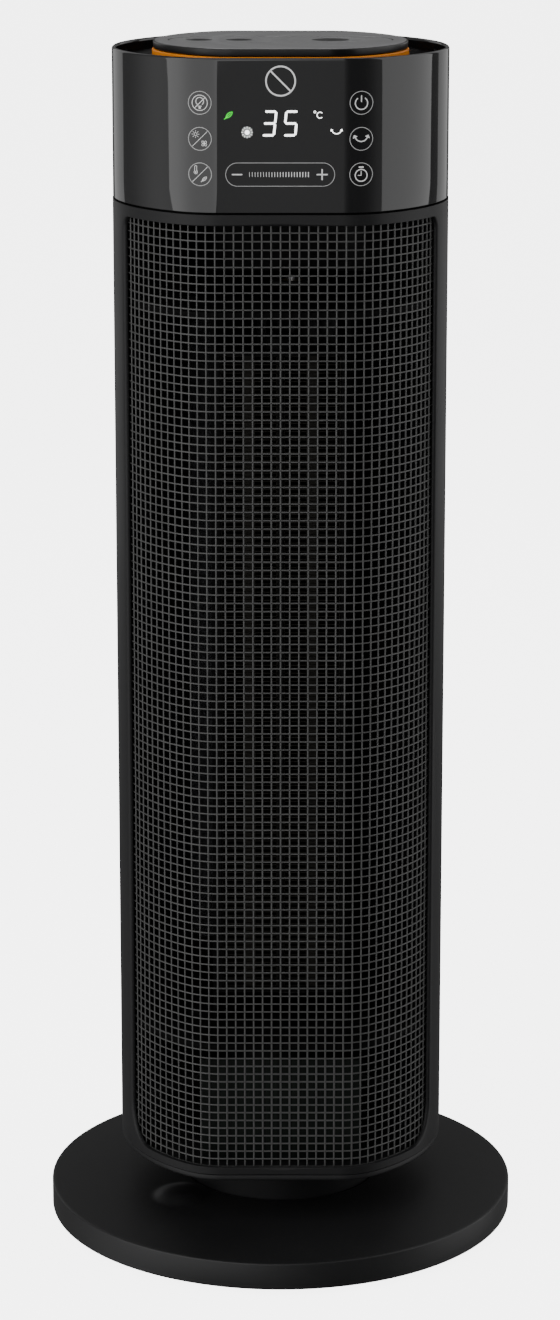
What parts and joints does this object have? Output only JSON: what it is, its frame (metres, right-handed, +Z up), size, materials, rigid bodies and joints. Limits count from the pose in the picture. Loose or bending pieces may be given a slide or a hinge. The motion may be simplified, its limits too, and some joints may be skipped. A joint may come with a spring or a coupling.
{
  "type": "tower ceramic heater",
  "caption": "Free-standing tower fan heater: a mesh-fronted tower with a gloss control head and a docked remote, turning on a round weighted base.",
  "frame": {"origin": "on the floor, under the tower's axis, at the centre of the round base", "axes": "+Z up along the tower's axis; the front grille and display face -Y; +X is on the right of someone who looks at the front"},
  "size_m": [0.2452, 0.2452, 0.6225],
  "materials": {
    "satin_black": "fine matte texture",
    "gloss_black": "piano gloss",
    "grey_top": "satin",
    "orange_accent": "satin",
    "grille_mesh": "satin",
    "filter": "woven",
    "rubber": "matte",
    "inner_plastic": "natural",
    "dark_plastic": "moulded",
    "steel": "brushed",
    "brass": "turned",
    "heater_aluminium": "mill",
    "circuit_board": "solder mask",
    "display_screen": "gloss"
  },
  "bodies": {
    "base": {"base_cover": "satin_black", "base_plate": "satin_black", "ballast_weight": "steel", "foot_1": "rubber", "foot_2": "rubber", "foot_3": "rubber", "foot_4": "rubber", "foot_5": "rubber", "base_screw_1": "steel", "base_screw_2": "steel", "base_screw_3": "steel", "cord_gland": "rubber", "tip_switch_can": "inner_plastic", "tip_switch_spring": "steel", "pivot_post": "inner_plastic", "fixed_gear": "inner_plastic", "thrust_washer": "brass", "glide_ring": "inner_plastic"},
    "tip_plunger": {"tip_switch_plunger": "inner_plastic"},
    "tower": {"tower_floor": "satin_black", "neck_retainer": "inner_plastic", "swing_motor": "steel", "front_housing": "satin_black", "rear_housing": "satin_black", "front_grille": "grille_mesh", "lower_bulkhead": "inner_plastic", "upper_bulkhead": "inner_plastic", "top_deck": "inner_plastic", "fan_motor": "steel", "shaft_bush": "brass", "bush_mount": "rubber", "duct_scroll": "inner_plastic", "duct_tongue": "inner_plastic", "heater_frame": "inner_plastic", "ptc_element_left": "heater_aluminium", "ptc_element_right": "heater_aluminium", "thermal_cutout": "steel", "power_board": "circuit_board", "switch_body": "satin_black", "control_board": "circuit_board", "display_module": "display_screen", "head_shell": "gloss_black", "top_tray": "satin_black", "accent_ring": "orange_accent", "top_plate": "grey_top"},
    "swing_pinion": {"swing_pinion": "inner_plastic"},
    "fan": {"fan_wheel": "dark_plastic", "fan_shaft": "steel"},
    "rear_cover": {"rear_cover": "satin_black", "filter_screen": "filter"},
    "rocker": {"rocker_switch": "gloss_black"},
    "remote": {"remote_base": "gloss_black", "remote_top": "grey_top", "remote_board": "circuit_board", "coin_cell": "steel"},
    "key_dimmer": {"remote_button_dimmer": "gloss_black"},
    "key_mode": {"remote_button_mode": "gloss_black"},
    "key_power": {"remote_button_power": "gloss_black"}
  },
  "joints": [
    {"name": "oscillation", "type": "hinge", "parent": "base", "child": "tower", "pos_m": [0, 0, 0.0223], "axis": [0, 0, 1], "range_deg": [-35, 35]},
    {"name": "pinion_turn", "type": "hinge", "parent": "tower", "child": "swing_pinion", "pos_m": [0.0315, 0, 0.0086], "axis": [0, 0, 1], "range_deg": [-115, 115]},
    {"name": "fan_spin", "type": "hinge", "parent": "tower", "child": "fan", "pos_m": [0.006, 0.026, 0.115], "axis": [0, 0, 1], "continuous": true},
    {"name": "rear_cover_pull", "type": "slide", "parent": "tower", "child": "rear_cover", "axis": [0, 1, 0], "range_m": [0, 0.04]},
    {"name": "rocker_tip", "type": "hinge", "parent": "tower", "child": "rocker", "pos_m": [0, 0.0718, 0.0825], "axis": [1, 0, 0], "range_deg": [0, 16]},
    {"name": "remote_lift", "type": "slide", "parent": "tower", "child": "remote", "axis": [0, 0, 1], "range_m": [0, 0.06]},
    {"name": "dimmer_press", "type": "slide", "parent": "remote", "child": "key_dimmer", "axis": [0, 0, -1], "range_m": [0, 0.0004], "stiffness_N_per_m": 400},
    {"name": "mode_press", "type": "slide", "parent": "remote", "child": "key_mode", "axis": [0, 0, -1], "range_m": [0, 0.0004], "stiffness_N_per_m": 400},
    {"name": "power_press", "type": "slide", "parent": "remote", "child": "key_power", "axis": [0, 0, -1], "range_m": [0, 0.0004], "stiffness_N_per_m": 400},
    {"name": "tip_switch_travel", "type": "slide", "parent": "base", "child": "tip_plunger", "axis": [0, 0, -1], "range_m": [0, 0.0035], "stiffness_N_per_m": 40, "springref_m": 0.0035, "deforming": ["tip_switch_spring"]}
  ],
  "couplings": [
    {"joint": "pinion_turn", "follows": "oscillation", "ratio": 3.2}
  ]
}
